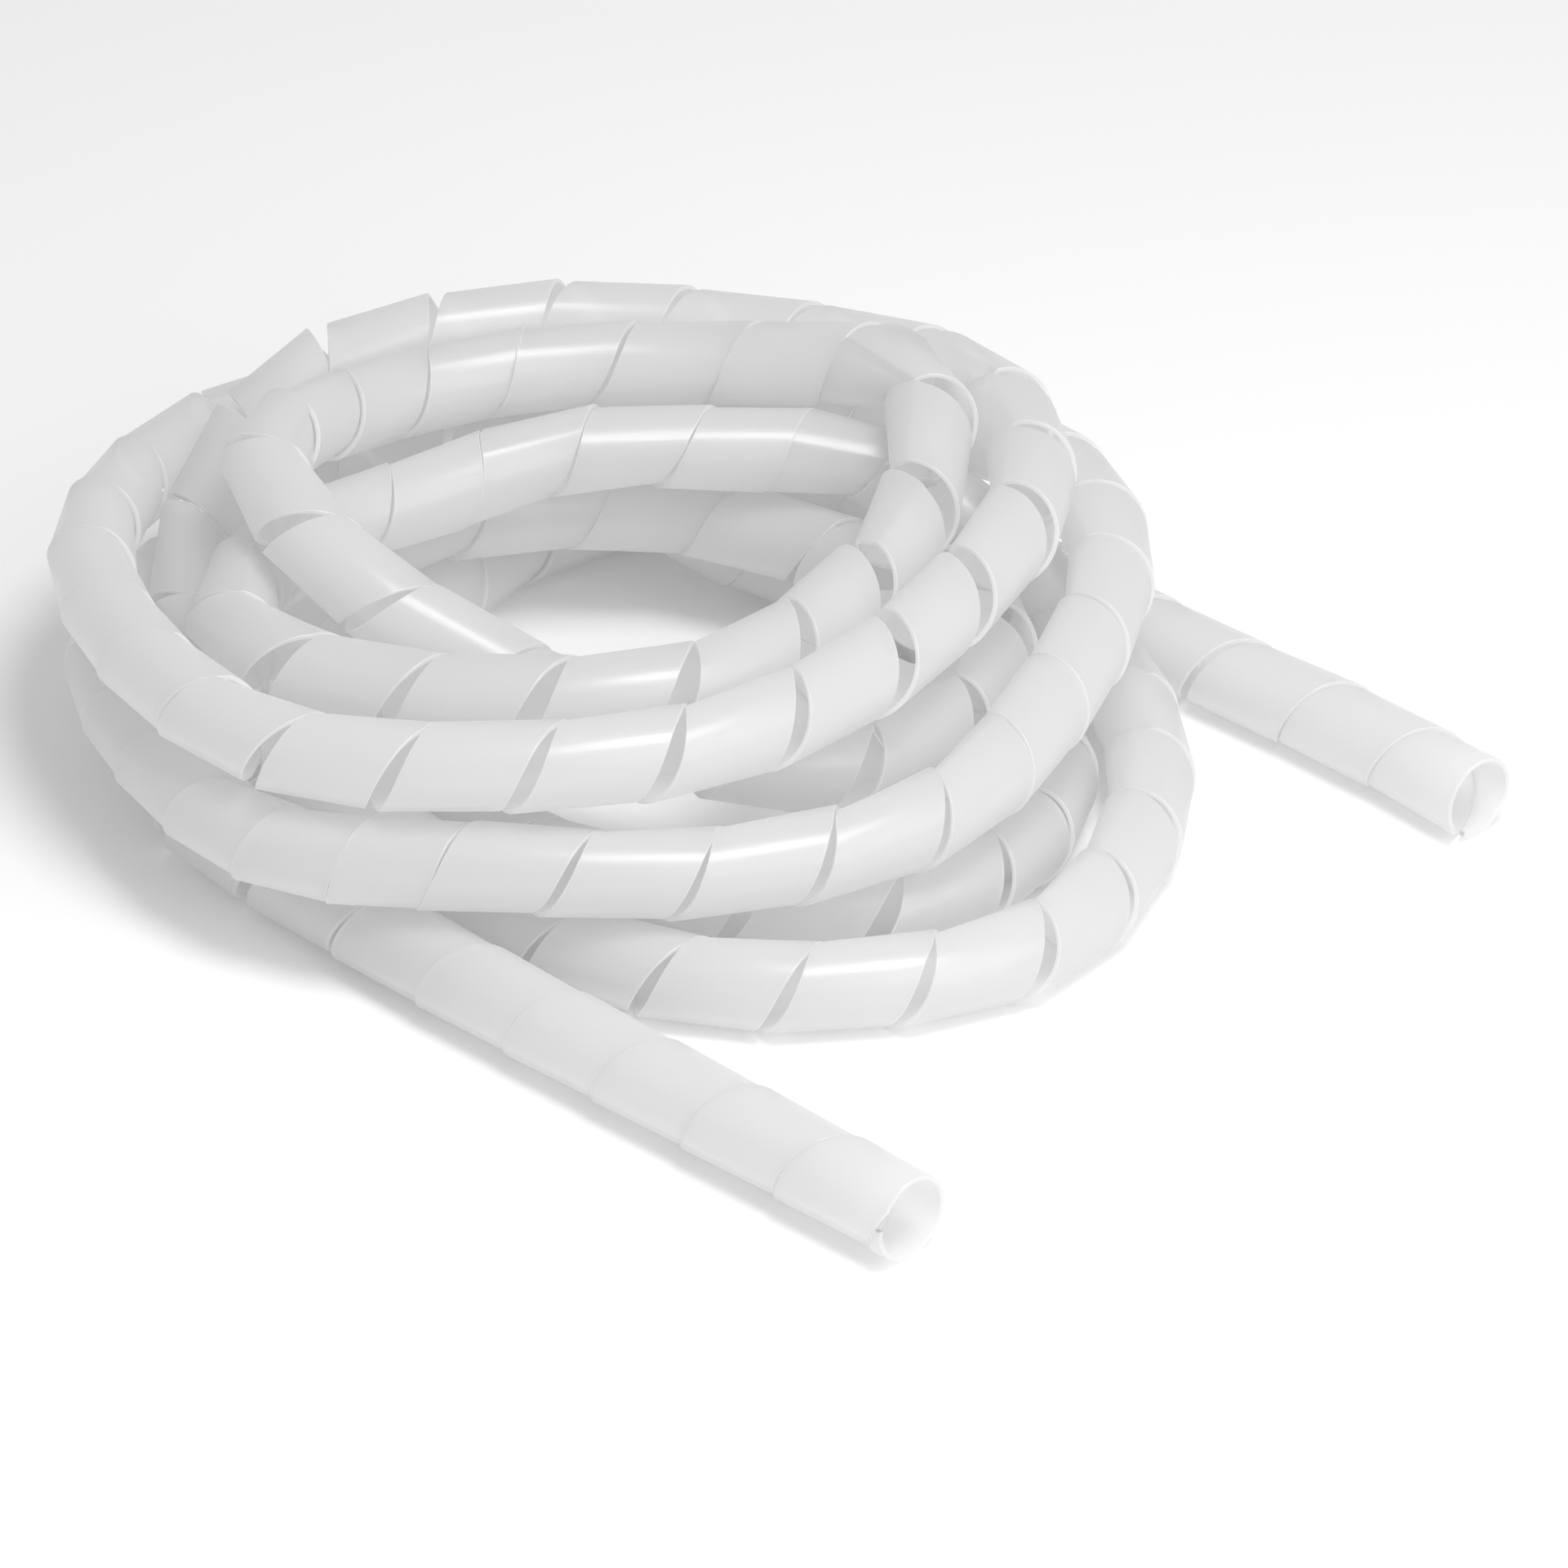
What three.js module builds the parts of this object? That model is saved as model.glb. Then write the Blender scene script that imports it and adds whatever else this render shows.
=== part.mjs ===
// Spiral cable wrap: one length of thin plastic tube, cut through by a single left-handed helical slit,
// lying as a loose coil on a level floor. Millimetres, +Z up, both free ends pointing along +X.

import * as THREE from "three";

// Tube
const TUBE_DIAMETER = 24;
const WALL = 1.3;
const PITCH = 33.1;
const SLIT_WIDTH = 0.9;

// The slit where neighbouring turns of the ribbon are pushed together
const CLOSED_SLIT_WIDTH = 0.3;

// How far each turn's leading edge stands out past its trailing edge: less than nothing where the tube is
// straight, and more than the wall where a bend pushes the turns together by at least FULL_PUSH
const FREE_STEP_HEIGHT = -0.7;
const PUSHED_STEP_HEIGHT = 1.7;
const FULL_PUSH = 3;

// The sharpest inner bend that the ribbon follows, as a share of the tube's radius
const MAX_BEND = 0.8;

// Ribbon mesh
const STEPS_PER_TURN = 10;
const CORNER_COUNT = 4;
const TIP_WIDTH = 1.6;

// Where the turns of the ribbon have slipped along the tube: [turn number, slip in pitches].
// A falling slip is a stretch where the turns are pushed together, a rising one where they are pulled apart.
const SLIPS = [
  [2, 0.15], [18, 0.65], [19.5, 0.6], [20.5, 0.35], [34.4, 0.4], [36.4, 0], [39.4, -0.73],
  [43.3, -0.77], [46, -1.12], [48.5, -1.33], [58.6, -1.22], [60, -1.45], [61.5, -1.48],
  [63.4, -1.67], [66, -1.64], [69.3, -1.56], [70.5, -1.3], [74.5, -1.08], [79.5, -0.73],
  [88.4, -0.77], [92.4, -0.86], [98.8, -1], [100.5, -1.29], [102.5, -1.42], [106.5, -1.93],
  [110, -1.72], [112.4, -1.63], [113.5, -1.22], [118, -1.2], [122.4, -1.88], [125, -1.93],
  [130, -1.86], [133, -1.6], [135, -1.6], [142.3, -1.03], [144.4, -1.08], [147, -1.18],
];

// The coil's middle, as seen from above, in tube diameters
const MIDDLE_X = -1.38;
const MIDDLE_Y = -1.24;

// The tube's centre line in tube diameters: [distance from the middle, height above the floor],
// one station every 30 degrees round the coil, one turn to a row, starting at 60 degrees
const FIRST_ANGLE = 60;
const STATION_ANGLE = 30;
const STATIONS = [
  [6.9, 0.5], [6, 0.5], [6.1, 0.5], [4.7, 0.5], [3.5, 0.5], [2.95, 0.5],
  [2.55, 0.5], [2.4, 0.5], [2.65, 0.5], [3.45, 0.55], [4.8, 0.5], [5, 0.5],

  [4.55, 0.55], [4.4, 0.5], [4.4, 0.7], [4.85, 1.75], [5.8, 1], [5.95, 1.15],
  [5.5, 1.45], [5.25, 1.45], [4.6, 1.6], [4.5, 1.5], [4.9, 1.65], [5.1, 2],

  [5.75, 2.15], [6.3, 1.9], [5.75, 1.75], [6, 1.95], [6.45, 2.1], [6.15, 2.35],
  [5.5, 2.55], [5, 2.55], [4.3, 2.7], [3.9, 2.75], [3.7, 2.85], [3.85, 2.9],

  [4.8, 3], [5.75, 2.85], [5.5, 2.85], [5.45, 3], [5.45, 2.9], [5.05, 1.85],
  [4.1, 1.2], [3.5, 0.75], [4, 0.5], [5.25, 0.5], [6.25, 0.5], [6.1, 0.5],

  [5.7, 0.7], [4.4, 2.25], [3.25, 2.55], [3.1, 2.55], [3.2, 2.4], [4, 2.4],
  [4.3, 2.5], [3.3, 2.55], [2.85, 2.7], [2.7, 2.75], [2.6, 2.8], [2.65, 2.8],

  [3.4, 2.85], [4.7, 3.35], [4.4, 3.05], [4.25, 3.05], [4.35, 3.1], [4.1, 3.5],
  [2.95, 3], [1.9, 2.3], [1.7, 1.95], [2.05, 1.75], [3.2, 1.5], [3.95, 1.5],

  [4.25, 1.6], [3.7, 1.35], [3.6, 1.45], [3.6, 1.55], [4, 1.5], [4.95, 0.6],
  [4.95, 0.5],
];

// The two free ends, in tube diameters: [x, y, height]
const START_END = [[6.3, 4.72, 0.5], [4.2, 4.82, 0.5]];
const FINISH_END = [[-1.3, -5.85, 0.5], [7.6, -5.72, 0.5]];

// Fineness of the centre line
const SAMPLE_SPACING = 2;
const ARC_DIVISIONS = 9000;

function centreLine() {
  const points = [];
  for (const [x, y, z] of START_END) {
    points.push(new THREE.Vector3(x, y, z));
  }
  STATIONS.forEach(([distance, height], i) => {
    const angle = THREE.MathUtils.degToRad(FIRST_ANGLE + STATION_ANGLE * i);
    const x = MIDDLE_X + distance * Math.cos(angle);
    const y = MIDDLE_Y + distance * Math.sin(angle);
    points.push(new THREE.Vector3(x, y, height));
  });
  for (const [x, y, z] of FINISH_END) {
    points.push(new THREE.Vector3(x, y, z));
  }
  for (const point of points) {
    point.multiplyScalar(TUBE_DIAMETER);
  }
  const curve = new THREE.CatmullRomCurve3(points, false, "centripetal");
  curve.arcLengthDivisions = ARC_DIVISIONS;
  return curve;
}

// Evenly spaced places along the centre line, each with a tangent and a pair of cross directions that
// are carried along without twisting
function samplePath(curve) {
  const length = curve.getLength();
  const count = Math.round(length / SAMPLE_SPACING);
  const samples = [];
  for (let i = 0; i <= count; i += 1) {
    samples.push({
      point: curve.getPointAt(i / count),
      tangent: curve.getTangentAt(i / count).normalize(),
    });
  }
  const up = new THREE.Vector3(0, 0, 1);
  let normal = up.clone().addScaledVector(samples[0].tangent, -up.dot(samples[0].tangent)).normalize();
  for (const sample of samples) {
    normal = normal.clone().addScaledVector(sample.tangent, -normal.dot(sample.tangent)).normalize();
    sample.normal = normal;
    sample.side = new THREE.Vector3().crossVectors(sample.tangent, normal);
  }
  return { length, count, samples };
}

function pathAt(path, along, key) {
  const place = THREE.MathUtils.clamp(along / path.length, 0, 1) * path.count;
  const i = Math.min(Math.floor(place), path.count - 1);
  const result = path.samples[i][key].clone();
  return result.lerp(path.samples[i + 1][key], place - i);
}

// Direction across the tube at an angle round it. The angle turns so that the helix is left-handed.
function acrossAt(path, along, angle) {
  const result = pathAt(path, along, "normal").multiplyScalar(Math.cos(angle));
  return result.addScaledVector(pathAt(path, along, "side"), -Math.sin(angle)).normalize();
}

// How sharply the tube bends towards this side, averaged over one pitch
function bendTowards(path, along, across) {
  const ahead = pathAt(path, along + PITCH / 2, "tangent");
  const behind = pathAt(path, along - PITCH / 2, "tangent");
  return ahead.sub(behind).dot(across) / PITCH;
}

// Slip of a turn, in pitches, straight from one listed turn to the next
function slipAt(turn) {
  const after = SLIPS.findIndex(([listed]) => listed > turn);
  if (after === -1) {
    return SLIPS[SLIPS.length - 1][1];
  }
  if (after === 0) {
    return SLIPS[0][1];
  }
  const [startTurn, startSlip] = SLIPS[after - 1];
  const [endTurn, endSlip] = SLIPS[after];
  return THREE.MathUtils.mapLinear(turn, startTurn, endTurn, startSlip, endSlip);
}

// Distance along the tube of the middle of the ribbon at a turn
function ribbonAlong(turn) {
  return PITCH * (turn + slipAt(turn));
}

// The four corners of the ribbon's section at one turn of the helix, fractions of a turn included
function ribbonSection(path, turn) {
  const angle = 2 * Math.PI * turn;
  const along = ribbonAlong(turn);
  const outerRadius = TUBE_DIAMETER / 2;
  const across = acrossAt(path, along, angle);
  const bend = Math.min(bendTowards(path, along, across), MAX_BEND / outerRadius);
  const stretch = 1 - bend * outerRadius;
  const spacing = (ribbonAlong(turn + 0.5) - ribbonAlong(turn - 0.5)) * stretch;
  const width = Math.min(PITCH - SLIT_WIDTH, spacing - CLOSED_SLIT_WIDTH);
  const push = THREE.MathUtils.smoothstep(bend * outerRadius * PITCH, 0, FULL_PUSH);
  const stepHeight = THREE.MathUtils.lerp(FREE_STEP_HEIGHT, PUSHED_STEP_HEIGHT, push);
  const bulge = bend * width * width / (8 * stretch);

  const trail = along - width / (2 * stretch);
  const lead = along + width / (2 * stretch);
  const trailAlong = THREE.MathUtils.clamp(trail, 0, path.length);
  const leadAlong = THREE.MathUtils.clamp(lead, 0, path.length);
  const sunk = Math.max(stepHeight, 0);
  const radiusAt = (s) => outerRadius - bulge / 2 - sunk + stepHeight * (s - trail) / (lead - trail);

  const corner = (s, inset) => {
    const direction = acrossAt(path, s, angle);
    return pathAt(path, s, "point").addScaledVector(direction, radiusAt(s) - inset);
  };
  return [corner(leadAlong, 0), corner(trailAlong, 0), corner(trailAlong, WALL), corner(leadAlong, WALL)];
}

function ribbonGeometry(path) {
  const ribbonWidth = PITCH - SLIT_WIDTH;
  const firstSlip = SLIPS[0][1];
  const lastSlip = SLIPS[SLIPS.length - 1][1];
  const firstTurn = (TIP_WIDTH - ribbonWidth / 2) / PITCH - firstSlip;
  const lastTurn = (path.length + ribbonWidth / 2 - TIP_WIDTH) / PITCH - lastSlip;
  const steps = Math.round((lastTurn - firstTurn) * STEPS_PER_TURN);

  const positions = [];
  for (let i = 0; i <= steps; i += 1) {
    const turn = THREE.MathUtils.lerp(firstTurn, lastTurn, i / steps);
    for (const corner of ribbonSection(path, turn)) {
      positions.push(corner.x, corner.y, corner.z);
    }
  }

  const faces = [];
  for (let i = 0; i < steps; i += 1) {
    for (let k = 0; k < CORNER_COUNT; k += 1) {
      const a = CORNER_COUNT * i + k;
      const b = CORNER_COUNT * i + (k + 1) % CORNER_COUNT;
      const c = b + CORNER_COUNT;
      const d = a + CORNER_COUNT;
      faces.push(a, b, c, a, c, d);
    }
  }
  const last = CORNER_COUNT * steps;
  faces.push(0, 2, 1, 0, 3, 2);
  faces.push(last, last + 1, last + 2, last, last + 2, last + 3);

  const geometry = new THREE.BufferGeometry();
  geometry.setAttribute("position", new THREE.Float32BufferAttribute(positions, 3));
  geometry.setIndex(faces);
  return geometry;
}

function signedVolume(geometry) {
  const position = geometry.getAttribute("position");
  const index = geometry.getIndex();
  const a = new THREE.Vector3();
  const b = new THREE.Vector3();
  const c = new THREE.Vector3();
  let volume = 0;
  for (let i = 0; i < index.count; i += 3) {
    a.fromBufferAttribute(position, index.getX(i));
    b.fromBufferAttribute(position, index.getX(i + 1));
    c.fromBufferAttribute(position, index.getX(i + 2));
    volume += a.dot(b.cross(c)) / 6;
  }
  return volume;
}

function faceOutwards(geometry) {
  if (signedVolume(geometry) > 0) {
    return;
  }
  const index = geometry.getIndex();
  for (let i = 0; i < index.count; i += 3) {
    const second = index.getX(i + 1);
    index.setX(i + 1, index.getX(i + 2));
    index.setX(i + 2, second);
  }
}

// Rest the coil on z = 0 with the origin under its middle
function centreOnFloor(geometry) {
  geometry.computeBoundingBox();
  const box = geometry.boundingBox;
  const centre = box.getCenter(new THREE.Vector3());
  geometry.translate(-centre.x, -centre.y, -box.min.z);
}

const path = samplePath(centreLine());
const geometry = ribbonGeometry(path);
faceOutwards(geometry);
centreOnFloor(geometry);
geometry.computeVertexNormals();

const material = new THREE.MeshStandardMaterial({ color: 0xe9eaea, roughness: 0.4 });
const spiralWrap = new THREE.Mesh(geometry, material);
spiralWrap.name = "spiral_wrap";

const group = new THREE.Group();
group.name = "spiral_cable_wrap";
group.add(spiralWrap);

export default group;
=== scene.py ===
"""Spiral cable wrap: a loose coil of milky plastic tube with one helical slit, on a pale floor."""

import math

import bpy
import numpy as np
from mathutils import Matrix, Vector


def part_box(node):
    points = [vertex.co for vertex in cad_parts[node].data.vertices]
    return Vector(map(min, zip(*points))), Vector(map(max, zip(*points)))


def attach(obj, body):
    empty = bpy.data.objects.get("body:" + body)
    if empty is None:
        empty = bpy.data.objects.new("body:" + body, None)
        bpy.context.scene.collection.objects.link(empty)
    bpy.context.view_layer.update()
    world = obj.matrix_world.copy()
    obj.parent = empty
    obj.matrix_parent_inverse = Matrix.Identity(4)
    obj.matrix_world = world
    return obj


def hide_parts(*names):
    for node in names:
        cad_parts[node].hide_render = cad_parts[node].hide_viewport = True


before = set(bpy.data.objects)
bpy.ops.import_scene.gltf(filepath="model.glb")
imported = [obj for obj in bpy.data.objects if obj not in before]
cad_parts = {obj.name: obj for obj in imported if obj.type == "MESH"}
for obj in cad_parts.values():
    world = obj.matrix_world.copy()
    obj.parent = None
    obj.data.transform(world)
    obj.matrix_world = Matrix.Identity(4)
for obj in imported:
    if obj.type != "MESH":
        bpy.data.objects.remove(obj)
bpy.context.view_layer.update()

# Tube, in metres
MM = 0.001
TUBE_DIAMETER = 24 * MM
WALL = 1.3 * MM
PITCH = 33.1 * MM
SLIT_WIDTH = 0.9 * MM
RIBBON_WIDTH = PITCH - SLIT_WIDTH

# The slit where neighbouring turns of the ribbon are pushed together
CLOSED_SLIT_WIDTH = 0.3 * MM

# How far each turn's leading edge stands out past its trailing edge: less than nothing where the tube is
# straight, and more than the wall where a bend pushes the turns together by at least FULL_PUSH
FREE_STEP_HEIGHT = -0.7 * MM
PUSHED_STEP_HEIGHT = 1.7 * MM
FULL_PUSH = 3 * MM

# The sharpest inner bend that the ribbon follows, as a share of the tube's radius
MAX_BEND = 0.8

# Ribbon mesh
STEPS_PER_TURN = 55
TIP_WIDTH = 1.6 * MM
EDGE_ROUND = 0.25 * MM

# The ribbon's two edges, and the section's points at each of them: two round corners of three points
TRAILING = 0
LEADING = 1
POINTS_PER_EDGE = 6

# Where the turns of the ribbon have slipped along the tube: (turn number, slip in pitches).
# A falling slip is a stretch where the turns are pushed together, a rising one where they are pulled apart.
SLIPS = [
    (2, 0.15), (18, 0.65), (19.5, 0.6), (20.5, 0.35), (34.4, 0.4), (36.4, 0), (39.4, -0.73),
    (43.3, -0.77), (46, -1.12), (48.5, -1.33), (58.6, -1.22), (60, -1.45), (61.5, -1.48),
    (63.4, -1.67), (66, -1.64), (69.3, -1.56), (70.5, -1.3), (74.5, -1.08), (79.5, -0.73),
    (88.4, -0.77), (92.4, -0.86), (98.8, -1), (100.5, -1.29), (102.5, -1.42), (106.5, -1.93),
    (110, -1.72), (112.4, -1.63), (113.5, -1.22), (118, -1.2), (122.4, -1.88), (125, -1.93),
    (130, -1.86), (133, -1.6), (135, -1.6), (142.3, -1.03), (144.4, -1.08), (147, -1.18),
]

# The coil's middle, as seen from above, in tube diameters
MIDDLE = (-1.38, -1.24)

# The tube's centre line in tube diameters: (distance from the middle, height above the floor),
# one station every 30 degrees round the coil, one turn to a row, starting at 60 degrees
FIRST_ANGLE = 60
STATION_ANGLE = 30
STATIONS = [
    (6.9, 0.5), (6, 0.5), (6.1, 0.5), (4.7, 0.5), (3.5, 0.5), (2.95, 0.5),
    (2.55, 0.5), (2.4, 0.5), (2.65, 0.5), (3.45, 0.55), (4.8, 0.5), (5, 0.5),

    (4.55, 0.55), (4.4, 0.5), (4.4, 0.7), (4.85, 1.75), (5.8, 1), (5.95, 1.15),
    (5.5, 1.45), (5.25, 1.45), (4.6, 1.6), (4.5, 1.5), (4.9, 1.65), (5.1, 2),

    (5.75, 2.15), (6.3, 1.9), (5.75, 1.75), (6, 1.95), (6.45, 2.1), (6.15, 2.35),
    (5.5, 2.55), (5, 2.55), (4.3, 2.7), (3.9, 2.75), (3.7, 2.85), (3.85, 2.9),

    (4.8, 3), (5.75, 2.85), (5.5, 2.85), (5.45, 3), (5.45, 2.9), (5.05, 1.85),
    (4.1, 1.2), (3.5, 0.75), (4, 0.5), (5.25, 0.5), (6.25, 0.5), (6.1, 0.5),

    (5.7, 0.7), (4.4, 2.25), (3.25, 2.55), (3.1, 2.55), (3.2, 2.4), (4, 2.4),
    (4.3, 2.5), (3.3, 2.55), (2.85, 2.7), (2.7, 2.75), (2.6, 2.8), (2.65, 2.8),

    (3.4, 2.85), (4.7, 3.35), (4.4, 3.05), (4.25, 3.05), (4.35, 3.1), (4.1, 3.5),
    (2.95, 3), (1.9, 2.3), (1.7, 1.95), (2.05, 1.75), (3.2, 1.5), (3.95, 1.5),

    (4.25, 1.6), (3.7, 1.35), (3.6, 1.45), (3.6, 1.55), (4, 1.5), (4.95, 0.6),
    (4.95, 0.5),
]

# The two free ends, in tube diameters: (x, y, height)
START_END = [(6.3, 4.72, 0.5), (4.2, 4.82, 0.5)]
FINISH_END = [(-1.3, -5.85, 0.5), (7.6, -5.72, 0.5)]

# Fineness of the centre line, and how many of its samples make one span between two listed route points
SAMPLE_SPACING = 1 * MM
POINTS_PER_SPAN = 60


def route_points():
    points = list(START_END)
    for i, (distance, height) in enumerate(STATIONS):
        angle = math.radians(FIRST_ANGLE + STATION_ANGLE * i)
        x = MIDDLE[0] + distance * math.cos(angle)
        y = MIDDLE[1] + distance * math.sin(angle)
        points.append((x, y, height))
    points += FINISH_END
    return np.array(points) * TUBE_DIAMETER


def span_points(before, start, end, after):
    """Centripetal Catmull-Rom span from start to end."""
    gaps = [np.sqrt(np.linalg.norm(b - a)) for a, b in ((before, start), (start, end), (end, after))]
    first, middle, last = gaps
    leave = ((start - before) / first - (end - before) / (first + middle) + (end - start) / middle) * middle
    arrive = ((end - start) / middle - (after - start) / (middle + last) + (after - end) / last) * middle
    t = np.arange(POINTS_PER_SPAN)[:, None] / POINTS_PER_SPAN
    return (
        (2 * t**3 - 3 * t**2 + 1) * start
        + (t**3 - 2 * t**2 + t) * leave
        + (3 * t**2 - 2 * t**3) * end
        + (t**3 - t**2) * arrive
    )


def normalised(vectors):
    return vectors / np.linalg.norm(vectors, axis=-1, keepdims=True)


class Path:
    """The tube's centre line, with cross directions that are carried along it without twisting."""

    def __init__(self):
        points = route_points()
        padded = np.vstack([2 * points[0] - points[1], points, 2 * points[-1] - points[-2]])
        spans = [span_points(*padded[i : i + 4]) for i in range(len(points) - 1)]
        dense = np.vstack([*spans, points[-1:]])
        steps = np.linalg.norm(np.diff(dense, axis=0), axis=1)
        travelled = np.concatenate([[0], np.cumsum(steps)])
        self.length = travelled[-1]
        count = round(self.length / SAMPLE_SPACING)
        self.along = np.linspace(0, self.length, count + 1)
        self.point = np.stack([np.interp(self.along, travelled, dense[:, k]) for k in range(3)], axis=1)
        self.tangent = normalised(np.gradient(self.point, self.along, axis=0))
        self.normal = np.zeros_like(self.point)
        normal = np.array([0.0, 0.0, 1.0])
        for i, tangent in enumerate(self.tangent):
            normal = normal - tangent * normal.dot(tangent)
            normal = normal / np.linalg.norm(normal)
            self.normal[i] = normal
        self.side = np.cross(self.tangent, self.normal)

    def at(self, values, along):
        """values, one row per sample, read at distances along the path."""
        clipped = np.clip(along, 0, self.length)
        return np.stack([np.interp(clipped, self.along, values[:, k]) for k in range(3)], axis=-1)

    def across(self, along, angle):
        """Direction across the tube. The angle turns so that the helix is left-handed."""
        turned = self.at(self.normal, along) * np.cos(angle)[..., None]
        turned = turned - self.at(self.side, along) * np.sin(angle)[..., None]
        return normalised(turned)

    def bend_towards(self, along, across):
        """How sharply the tube bends towards that side, averaged over one pitch."""
        ahead = self.at(self.tangent, along + PITCH / 2)
        behind = self.at(self.tangent, along - PITCH / 2)
        return ((ahead - behind) * across).sum(-1) / PITCH


def smoothstep(value, low, high):
    t = np.clip((value - low) / (high - low), 0, 1)
    return t * t * (3 - 2 * t)


def ribbon_along(turns):
    """Distance along the tube of the middle of the ribbon at these turns."""
    listed, slip = np.array(SLIPS).T
    return PITCH * (turns + np.interp(turns, listed, slip))


class Ribbon:
    """The two outer edges of the ribbon, one row per step along the helix."""

    def __init__(self, path):
        first = (TIP_WIDTH - RIBBON_WIDTH / 2) / PITCH - SLIPS[0][1]
        last = (path.length + RIBBON_WIDTH / 2 - TIP_WIDTH) / PITCH - SLIPS[-1][1]
        steps = round((last - first) * STEPS_PER_TURN)
        turns = np.linspace(first, last, steps + 1)
        self.angle = 2 * np.pi * turns
        along = ribbon_along(turns)

        outer_radius = TUBE_DIAMETER / 2
        across = path.across(along, self.angle)
        bend = np.minimum(path.bend_towards(along, across), MAX_BEND / outer_radius)
        stretch = 1 - bend * outer_radius
        spacing = (ribbon_along(turns + 0.5) - ribbon_along(turns - 0.5)) * stretch
        width = np.minimum(RIBBON_WIDTH, spacing - CLOSED_SLIT_WIDTH)
        push = smoothstep(bend * outer_radius * PITCH, 0, FULL_PUSH)
        step_height = FREE_STEP_HEIGHT + (PUSHED_STEP_HEIGHT - FREE_STEP_HEIGHT) * push
        bulge = bend * width**2 / (8 * stretch)

        trail = along - width / (2 * stretch)
        lead = along + width / (2 * stretch)
        foot = outer_radius - bulge / 2 - np.maximum(step_height, 0)

        # Both edges, trailing first: share of the way across the ribbon, point and outward direction
        self.edges = []
        for place in (trail, lead):
            kept = np.clip(place, 0, path.length)
            share = (kept - trail) / (lead - trail)
            radius = foot + step_height * share
            outwards = path.across(kept, self.angle)
            point = path.at(path.point, kept) + outwards * radius[:, None]
            self.edges.append((share, point, outwards))


def section_profile():
    """The ribbon's closed section, with round corners.

    Each point has its end (TRAILING or LEADING), how far it lies in from that end and below the outer
    face, and the direction of its normal in those two terms.
    """
    r = EDGE_ROUND
    slant = math.sqrt(0.5)
    near = (1 - slant) * r
    outer_corner = [(r, 0, 0, 1), (near, near, slant, slant), (0, r, 1, 0)]
    inner_corner = [(inset, WALL - depth, side, -out) for inset, depth, side, out in outer_corner]
    profile = [(LEADING, *point) for point in outer_corner]
    profile += [(LEADING, *point) for point in reversed(inner_corner)]
    profile += [(TRAILING, *point) for point in inner_corner]
    profile += [(TRAILING, *point) for point in reversed(outer_corner)]
    return profile


def ribbon_points(path):
    """Mesh points of the ribbon, their normals and their places on it, one row per step along the helix."""
    ribbon = Ribbon(path)
    middle = (ribbon.edges[TRAILING][1] + ribbon.edges[LEADING][1]) / 2
    onwards = normalised(np.gradient(middle, axis=0))
    columns = []
    for end, inset, depth, side, out in section_profile():
        share, edge, outwards = ribbon.edges[end]
        outwards = normalised(outwards - onwards * (outwards * onwards).sum(-1, keepdims=True))
        forwards = np.cross(onwards, outwards)
        sidewards = forwards if end == LEADING else -forwards
        point = edge - sidewards * inset - outwards * depth
        normal = sidewards * side + outwards * out
        columns.append((point, normal, share))
    points, normals, shares = (np.stack(items, axis=1) for items in zip(*columns))
    return points, normals, shares, np.broadcast_to(ribbon.angle[:, None], shares.shape)


def ribbon_mesh(path):
    points, normals, share, angle = ribbon_points(path)
    rows, columns = share.shape
    index = np.arange(rows * columns).reshape(rows, columns)
    ahead = np.roll(index, -1, axis=1)
    quads = np.stack([index[:-1], ahead[:-1], ahead[1:], index[1:]], axis=-1).reshape(-1, 4)
    faces = [list(map(int, quad)) for quad in quads]
    faces.append([int(i) for i in index[0][::-1]])
    faces.append([int(i) for i in index[-1]])

    mesh = bpy.data.meshes.new("spiral_wrap_mesh")
    mesh.from_pydata(points.reshape(-1, 3).tolist(), [], faces)

    # Ribbon coordinates: across the ribbon from 0 to 1, and along it in metres
    layer = mesh.uv_layers.new(name="Ribbon")
    corners = np.zeros(len(mesh.loops), np.int32)
    mesh.loops.foreach_get("vertex_index", corners)
    flat_share = share.reshape(-1)[corners]
    flat_angle = (angle * TUBE_DIAMETER / 2).reshape(-1)[corners]
    layer.data.foreach_set("uv", np.stack([flat_share, flat_angle], axis=1).astype(np.float32).ravel())

    # The second material is for the cut edges and the ends, and it paints a highlight on the rims. The last
    # side after each edge's points is a wall.
    side = np.arange(len(quads)) % POINTS_PER_EDGE
    slots = np.ones(len(faces), np.int32)
    slots[: len(quads)] = side != POINTS_PER_EDGE - 1
    mesh.polygons.foreach_set("material_index", slots)

    mesh.shade_smooth()
    mesh.normals_split_custom_set_from_vertices(normals.reshape(-1, 3).tolist())
    mesh.update()
    return mesh, points


# Plastic: its grey shade, the share of light that goes straight through it, and the share of the rest that
# comes through scattered
WALL_SHADE = 0.925
WALL_CLEAR = 0.28
WALL_GLOW = 0.68
# Cut edges: a copy of the plastic that lets less light through than the wall, so the rims show as lines
# brighter than the walls. This is partly a painted highlight, on top of the real light that their round
# corners catch.
EDGE_SHADE = 0.88
EDGE_CLEAR = 0
EDGE_GLOW = 0.5


def streaks(nodes, links):
    """Fine drawing lines along the tube, as a bump that a shader's Normal takes."""
    ribbon = nodes.new("ShaderNodeUVMap")
    ribbon.uv_map = "Ribbon"
    stretch = nodes.new("ShaderNodeMapping")
    stretch.inputs["Scale"].default_value = (1.2, 1400, 1)
    links.new(ribbon.outputs["UV"], stretch.inputs["Vector"])
    lines = nodes.new("ShaderNodeTexNoise")
    lines.inputs["Scale"].default_value = 1
    lines.inputs["Detail"].default_value = 3
    links.new(stretch.outputs["Vector"], lines.inputs["Vector"])
    bump = nodes.new("ShaderNodeBump")
    bump.inputs["Strength"].default_value = 0.12
    bump.inputs["Distance"].default_value = 0.0003
    links.new(lines.outputs["Fac"], bump.inputs["Height"])
    return bump.outputs["Normal"]


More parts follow.
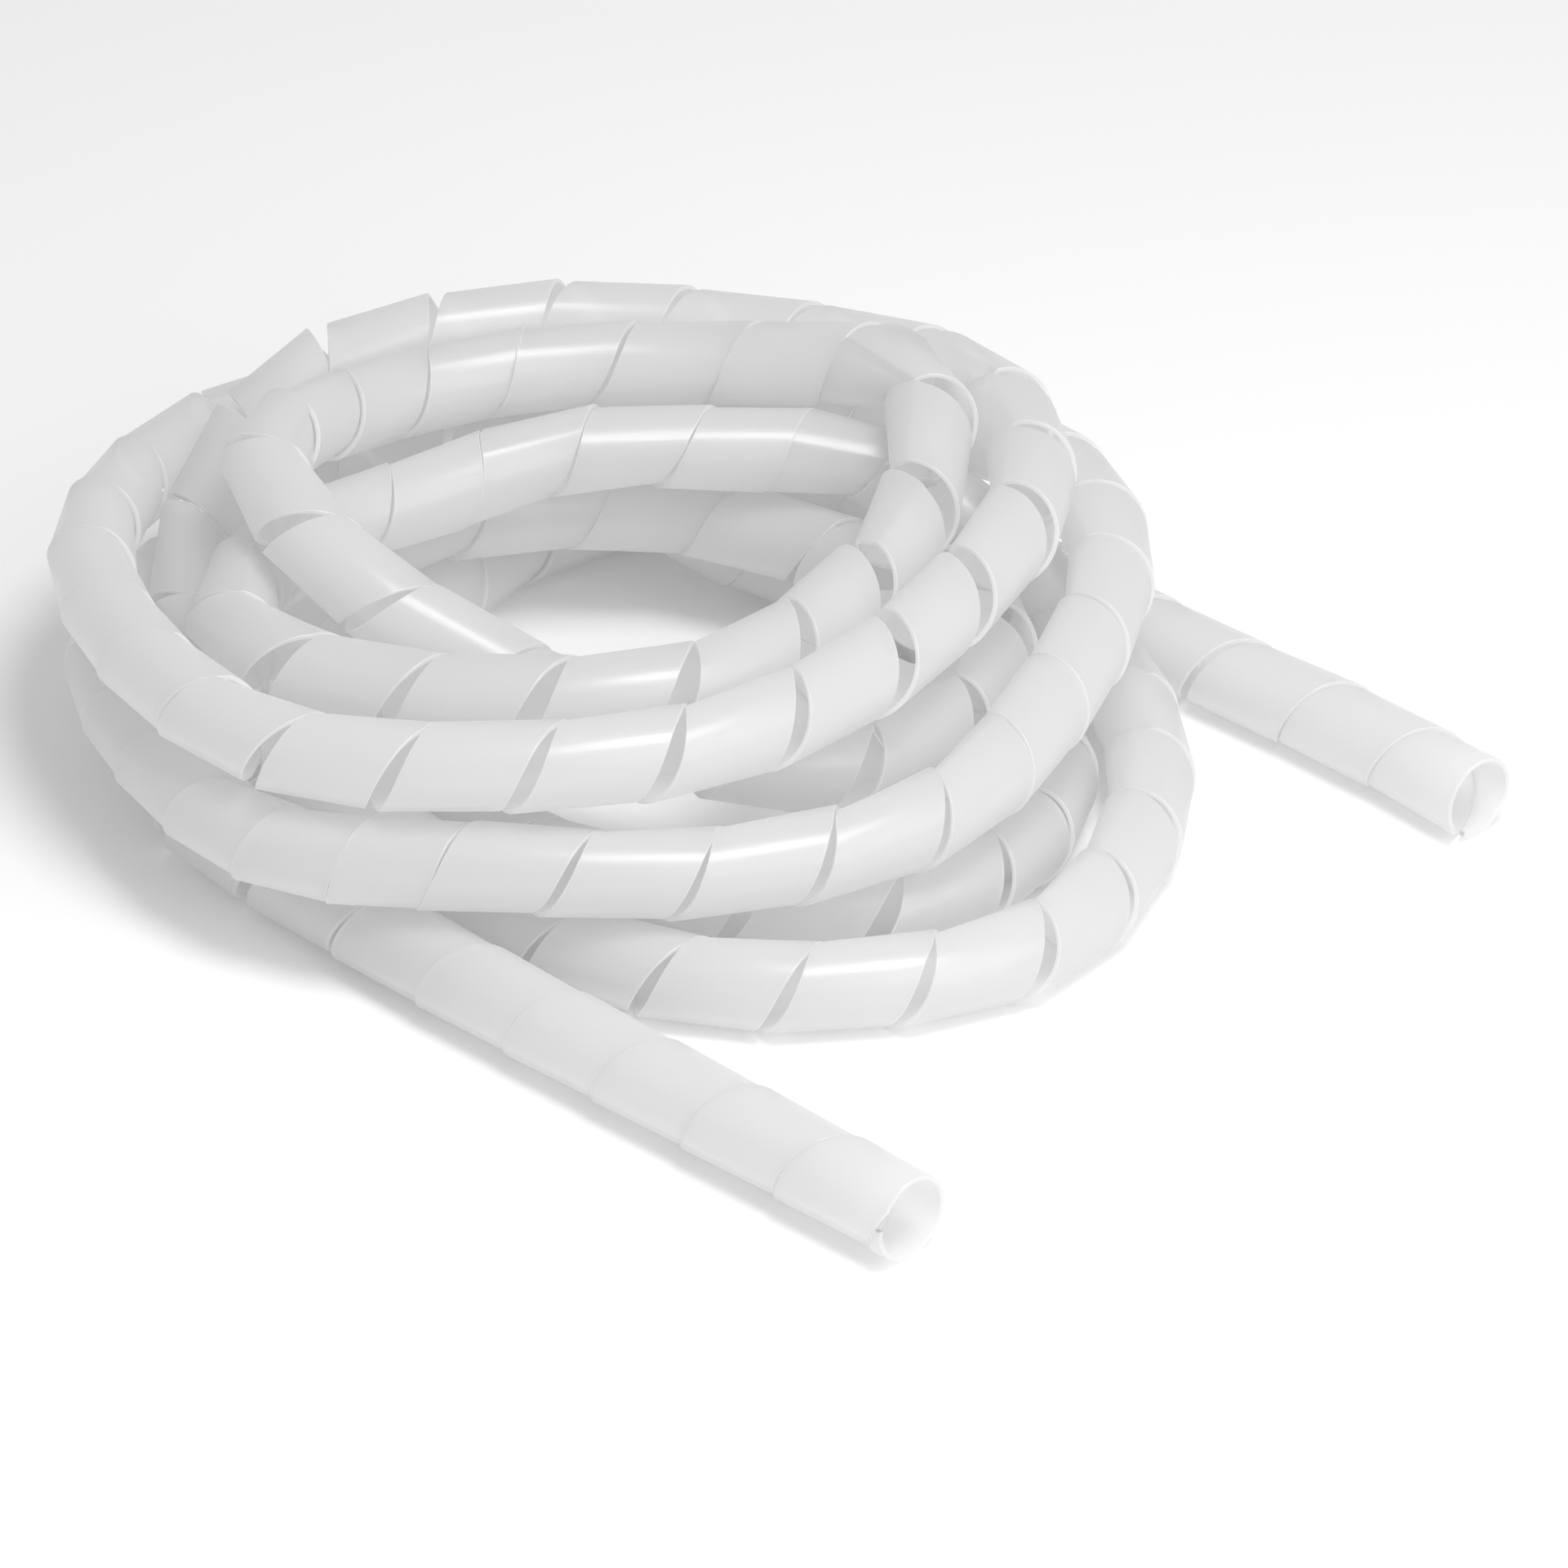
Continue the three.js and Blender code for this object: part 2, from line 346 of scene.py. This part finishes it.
def polyethylene(name, shade, glow_share, clear_share, streaked):
    """Milky natural polyethylene: a satin skin, light that comes through the wall, and a little clearness."""
    material = bpy.data.materials.new(name)
    material.use_nodes = True
    nodes = material.node_tree.nodes
    links = material.node_tree.links
    nodes.clear()

    body = nodes.new("ShaderNodeBsdfPrincipled")
    body.inputs["Base Color"].default_value = (shade, shade, shade, 1)
    body.inputs["Roughness"].default_value = 0.29
    body.inputs["IOR"].default_value = 1.8
    body.inputs["Specular IOR Level"].default_value = 1
    glow = nodes.new("ShaderNodeBsdfTranslucent")
    glow.inputs["Color"].default_value = (shade, shade, shade, 1)
    milky = nodes.new("ShaderNodeMixShader")
    milky.inputs["Fac"].default_value = glow_share
    links.new(body.outputs["BSDF"], milky.inputs[1])
    links.new(glow.outputs["BSDF"], milky.inputs[2])

    clear = nodes.new("ShaderNodeBsdfTransparent")
    wall = nodes.new("ShaderNodeMixShader")
    wall.inputs["Fac"].default_value = clear_share
    links.new(milky.outputs["Shader"], wall.inputs[1])
    links.new(clear.outputs["BSDF"], wall.inputs[2])

    output = nodes.new("ShaderNodeOutputMaterial")
    links.new(wall.outputs["Shader"], output.inputs["Surface"])
    if streaked:
        links.new(streaks(nodes, links), body.inputs["Normal"])
    return material


def floor_material():
    material = bpy.data.materials.new("floor_white")
    material.use_nodes = True
    body = material.node_tree.nodes["Principled BSDF"]
    body.inputs["Base Color"].default_value = (0.97, 0.97, 0.97, 1)
    body.inputs["Roughness"].default_value = 0.9
    body.inputs["Specular IOR Level"].default_value = 0.1
    return material


FLOOR_SIZE = 6


def make_floor():
    bpy.ops.mesh.primitive_plane_add(size=FLOOR_SIZE, location=(0, 0, 0))
    floor = bpy.context.object
    floor.name = "floor"
    floor.data.materials.append(floor_material())


def make_world():
    world = bpy.data.worlds.new("studio_air")
    world.use_nodes = True
    background = world.node_tree.nodes["Background"]
    background.inputs["Color"].default_value = (1, 1, 1, 1)
    background.inputs["Strength"].default_value = 0.45
    bpy.context.scene.world = world


def make_lamp(name, place, aim, size, power):
    data = bpy.data.lights.new(name, "AREA")
    data.shape = "DISK"
    data.size = size
    data.energy = power
    lamp = bpy.data.objects.new(name, data)
    lamp.location = place
    lamp.rotation_mode = "QUATERNION"
    lamp.rotation_quaternion = (Vector(place) - Vector(aim)).to_track_quat("Z", "Y")
    bpy.context.scene.collection.objects.link(lamp)


# The camera looks at the origin that the route is drawn from, at the photograph's angle. Its distance is in
# tube diameters, and the lens makes the tube as wide there as it is in the picture.
PICTURE_WIDTH = 1921
TUBE_IN_PICTURE = 108
CAMERA_ELEVATION = 31.5
CAMERA_HEADING = 45
DIAMETERS_AWAY = 95
SENSOR = 36
LENS = SENSOR * TUBE_IN_PICTURE * DIAMETERS_AWAY / PICTURE_WIDTH


def make_camera(route_origin):
    elevation = math.radians(CAMERA_ELEVATION)
    heading = math.radians(CAMERA_HEADING)
    back = Vector((
        math.sin(heading) * math.cos(elevation),
        -math.cos(heading) * math.cos(elevation),
        math.sin(elevation),
    ))
    data = bpy.data.cameras.new("camera")
    data.sensor_width = SENSOR
    data.lens = LENS
    data.clip_start = 0.05
    data.clip_end = 50
    camera = bpy.data.objects.new("camera", data)
    camera.location = Vector(route_origin) + back * DIAMETERS_AWAY * TUBE_DIAMETER
    camera.rotation_mode = "QUATERNION"
    camera.rotation_quaternion = back.to_track_quat("Z", "Y")
    bpy.context.scene.collection.objects.link(camera)
    bpy.context.scene.camera = camera


def make_wrap():
    """Builds the wrap in the route's frame, then moves it to where the CAD solid lies."""
    path = Path()
    mesh, points = ribbon_mesh(path)
    low = points.reshape(-1, 3).min(axis=0)
    high = points.reshape(-1, 3).max(axis=0)
    box_low, box_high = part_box("spiral_wrap")
    move = (np.array(box_low) + np.array(box_high)) / 2 - (low + high) / 2
    move[2] = box_low.z - low[2]
    mesh.vertices.foreach_set("co", (points.reshape(-1, 3) + move).ravel())
    mesh.update()
    wrap = bpy.data.objects.new("wrap", mesh)
    bpy.context.scene.collection.objects.link(wrap)
    wall = polyethylene("milky_polyethylene", WALL_SHADE, WALL_GLOW, WALL_CLEAR, streaked=True)
    # The cut edges take the second copy of the plastic, with a painted highlight that makes the rims brighter
    # than the walls
    cut_edge = polyethylene(
        "milky_polyethylene_cut_edge_painted_highlight", EDGE_SHADE, EDGE_GLOW, EDGE_CLEAR, streaked=False
    )
    wrap.data.materials.append(wall)
    wrap.data.materials.append(cut_edge)
    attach(wrap, "root")
    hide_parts("spiral_wrap")
    return move


route_origin = make_wrap()
make_camera(route_origin)
make_floor()
make_world()
make_lamp("top", place=(0.55, -0.1, 1.35), aim=(0, 0, 0), size=0.55, power=11)
make_lamp("side", place=(1.6, -0.1, 0.95), aim=(0, 0, 0.03), size=1.6, power=14)

scene = bpy.context.scene
scene.view_settings.view_transform = "Standard"
scene.view_settings.look = "None"
scene.view_settings.gamma = 1.35
